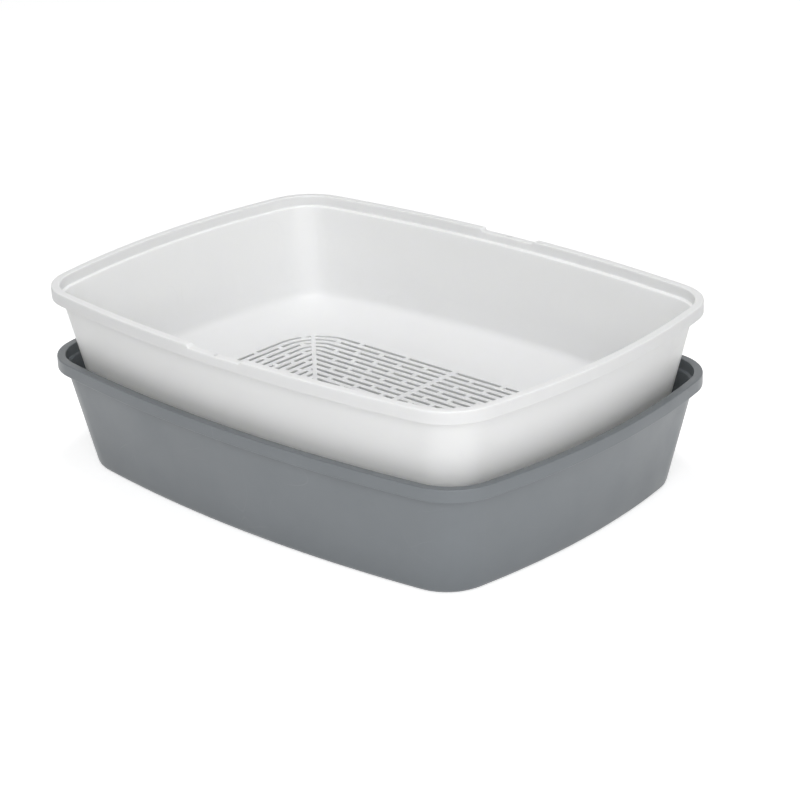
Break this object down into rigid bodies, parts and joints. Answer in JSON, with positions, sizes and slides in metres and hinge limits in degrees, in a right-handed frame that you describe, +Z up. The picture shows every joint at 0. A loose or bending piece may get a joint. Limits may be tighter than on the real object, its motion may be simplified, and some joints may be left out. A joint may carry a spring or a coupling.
{
  "type": "sifting litter box",
  "caption": "Open rectangular litter pan with bowed sides and a slotted sifting tray that nests in it and lifts out to sift clean litter from waste.",
  "frame": {"origin": "middle of the pan's footprint, on the surface that it stands on", "axes": "+X along the long sides, +Y across, +Z up"},
  "size_m": [0.4798, 0.346, 0.1558],
  "materials": {
    "pan_plastic": "satin moulded polypropylene, mid grey",
    "tray_plastic": "satin moulded polypropylene, white"
  },
  "bodies": {
    "pan": {"litter_pan": "pan_plastic"},
    "tray": {"sifting_tray": "tray_plastic"}
  },
  "joints": [
    {"name": "tray_lift", "type": "slide", "parent": "pan", "child": "tray", "axis": [0, 0, 1], "range_m": [-0.0485, 0.09]}
  ]
}
